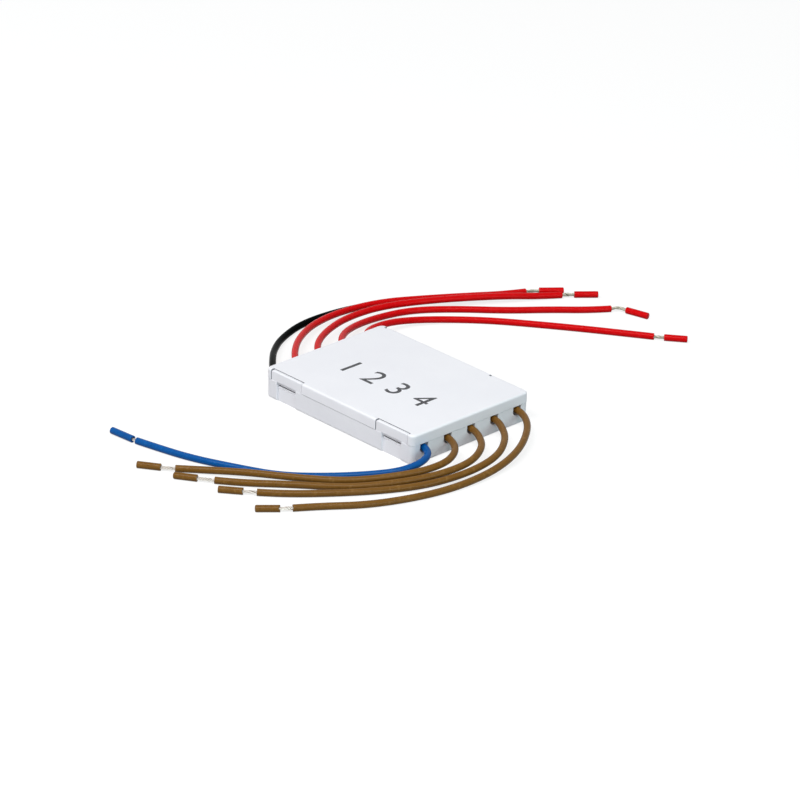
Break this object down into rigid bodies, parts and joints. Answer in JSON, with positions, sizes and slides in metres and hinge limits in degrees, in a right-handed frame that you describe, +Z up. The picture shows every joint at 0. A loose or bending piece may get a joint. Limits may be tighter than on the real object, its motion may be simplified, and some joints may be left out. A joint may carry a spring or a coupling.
{
  "type": "four-channel decoupler",
  "caption": "Flat white snap-together isolating module for a wall box, with insulated flying leads out of both short ends, each tinned end under a part-pulled slug.",
  "frame": {"origin": "centre of the casing's underside", "axes": "+X towards the mains end with the blue and brown leads, +Z up out of the cover, and -Y towards the side where the mains leads sweep round"},
  "size_m": [0.0911, 0.1526, 0.0076],
  "materials": {
    "white_plastic": "fine satin moulding",
    "blue_insulation": "extruded PVC, semi-gloss",
    "brown_insulation": "extruded PVC, semi-gloss",
    "black_insulation": "extruded PVC, semi-gloss",
    "red_insulation": "extruded PVC, semi-gloss",
    "tinned_copper": "tinned strands",
    "solder": "bright solder",
    "board_laminate": "solder mask over glass laminate",
    "black_epoxy": "moulded epoxy",
    "optocoupler_epoxy": "moulded epoxy",
    "resistor_ceramic": "glazed ceramic with metal caps",
    "capacitor_ceramic": "ceramic with metal caps"
  },
  "bodies": {
    "casing": {"base_case": "white_plastic", "black_lead": "black_insulation", "black_strands": "tinned_copper", "blue_lead": "blue_insulation", "blue_strands": "tinned_copper", "bridge_rectifier_1": "black_epoxy", "bridge_rectifier_2": "black_epoxy", "bridge_rectifier_3": "black_epoxy", "bridge_rectifier_4": "black_epoxy", "brown_lead_1": "brown_insulation", "brown_lead_2": "brown_insulation", "brown_lead_3": "brown_insulation", "brown_lead_4": "brown_insulation", "brown_strands_1": "tinned_copper", "brown_strands_2": "tinned_copper", "brown_strands_3": "tinned_copper", "brown_strands_4": "tinned_copper", "circuit_board": "board_laminate", "dropper_resistors_1": "resistor_ceramic", "dropper_resistors_2": "resistor_ceramic", "dropper_resistors_3": "resistor_ceramic", "dropper_resistors_4": "resistor_ceramic", "mains_lead_tails": "tinned_copper", "mains_solder_joints": "solder", "optocoupler_1": "optocoupler_epoxy", "optocoupler_2": "optocoupler_epoxy", "optocoupler_3": "optocoupler_epoxy", "optocoupler_4": "optocoupler_epoxy", "red_lead_1": "red_insulation", "red_lead_2": "red_insulation", "red_lead_3": "red_insulation", "red_lead_4": "red_insulation", "red_strands_1": "tinned_copper", "red_strands_2": "tinned_copper", "red_strands_3": "tinned_copper", "red_strands_4": "tinned_copper", "signal_lead_tails": "tinned_copper", "signal_solder_joints": "solder", "smoothing_capacitor_1": "capacitor_ceramic", "smoothing_capacitor_2": "capacitor_ceramic", "smoothing_capacitor_3": "capacitor_ceramic", "smoothing_capacitor_4": "capacitor_ceramic", "top_cover": "white_plastic"},
    "blue_slug": {"blue_slug": "blue_insulation"},
    "brown_slug_1": {"brown_slug_1": "brown_insulation"},
    "brown_slug_2": {"brown_slug_2": "brown_insulation"},
    "brown_slug_3": {"brown_slug_3": "brown_insulation"},
    "brown_slug_4": {"brown_slug_4": "brown_insulation"},
    "black_slug": {"black_slug": "black_insulation"},
    "red_slug_1": {"red_slug_1": "red_insulation"},
    "red_slug_2": {"red_slug_2": "red_insulation"},
    "red_slug_3": {"red_slug_3": "red_insulation"},
    "red_slug_4": {"red_slug_4": "red_insulation"}
  },
  "joints": [
    {"name": "blue_slug_slide", "type": "slide", "parent": "casing", "child": "blue_slug", "axis": [-0.9963, -0.0854, 0], "range_m": [-0.0002, 0.0058]},
    {"name": "brown_slug_1_slide", "type": "slide", "parent": "casing", "child": "brown_slug_1", "axis": [-0.8231, -0.5678, 0], "range_m": [-0.00081, 0.0024]},
    {"name": "brown_slug_2_slide", "type": "slide", "parent": "casing", "child": "brown_slug_2", "axis": [-0.832, -0.5548, 0], "range_m": [-0.001, 0.0017]},
    {"name": "brown_slug_3_slide", "type": "slide", "parent": "casing", "child": "brown_slug_3", "axis": [-0.7771, -0.6293, 0], "range_m": [-0.00075, 0.0027]},
    {"name": "brown_slug_4_slide", "type": "slide", "parent": "casing", "child": "brown_slug_4", "axis": [-0.6494, -0.7604, 0], "range_m": [-0.00067, 0.0029]},
    {"name": "black_slug_slide", "type": "slide", "parent": "casing", "child": "black_slug", "axis": [0.5299, 0.848, 0], "range_m": [-0.00072, 0.003]},
    {"name": "red_slug_1_slide", "type": "slide", "parent": "casing", "child": "red_slug_1", "axis": [0.6293, 0.7771, 0], "range_m": [-0.00086, 0.0028]},
    {"name": "red_slug_2_slide", "type": "slide", "parent": "casing", "child": "red_slug_2", "axis": [0.6361, 0.7716, 0], "range_m": [-0.00075, 0.003]},
    {"name": "red_slug_3_slide", "type": "slide", "parent": "casing", "child": "red_slug_3", "axis": [0.972, 0.2351, 0], "range_m": [-0.00105, 0.002]},
    {"name": "red_slug_4_slide", "type": "slide", "parent": "casing", "child": "red_slug_4", "axis": [0.776, 0.6307, 0], "range_m": [-0.00056, 0.0034]}
  ]
}
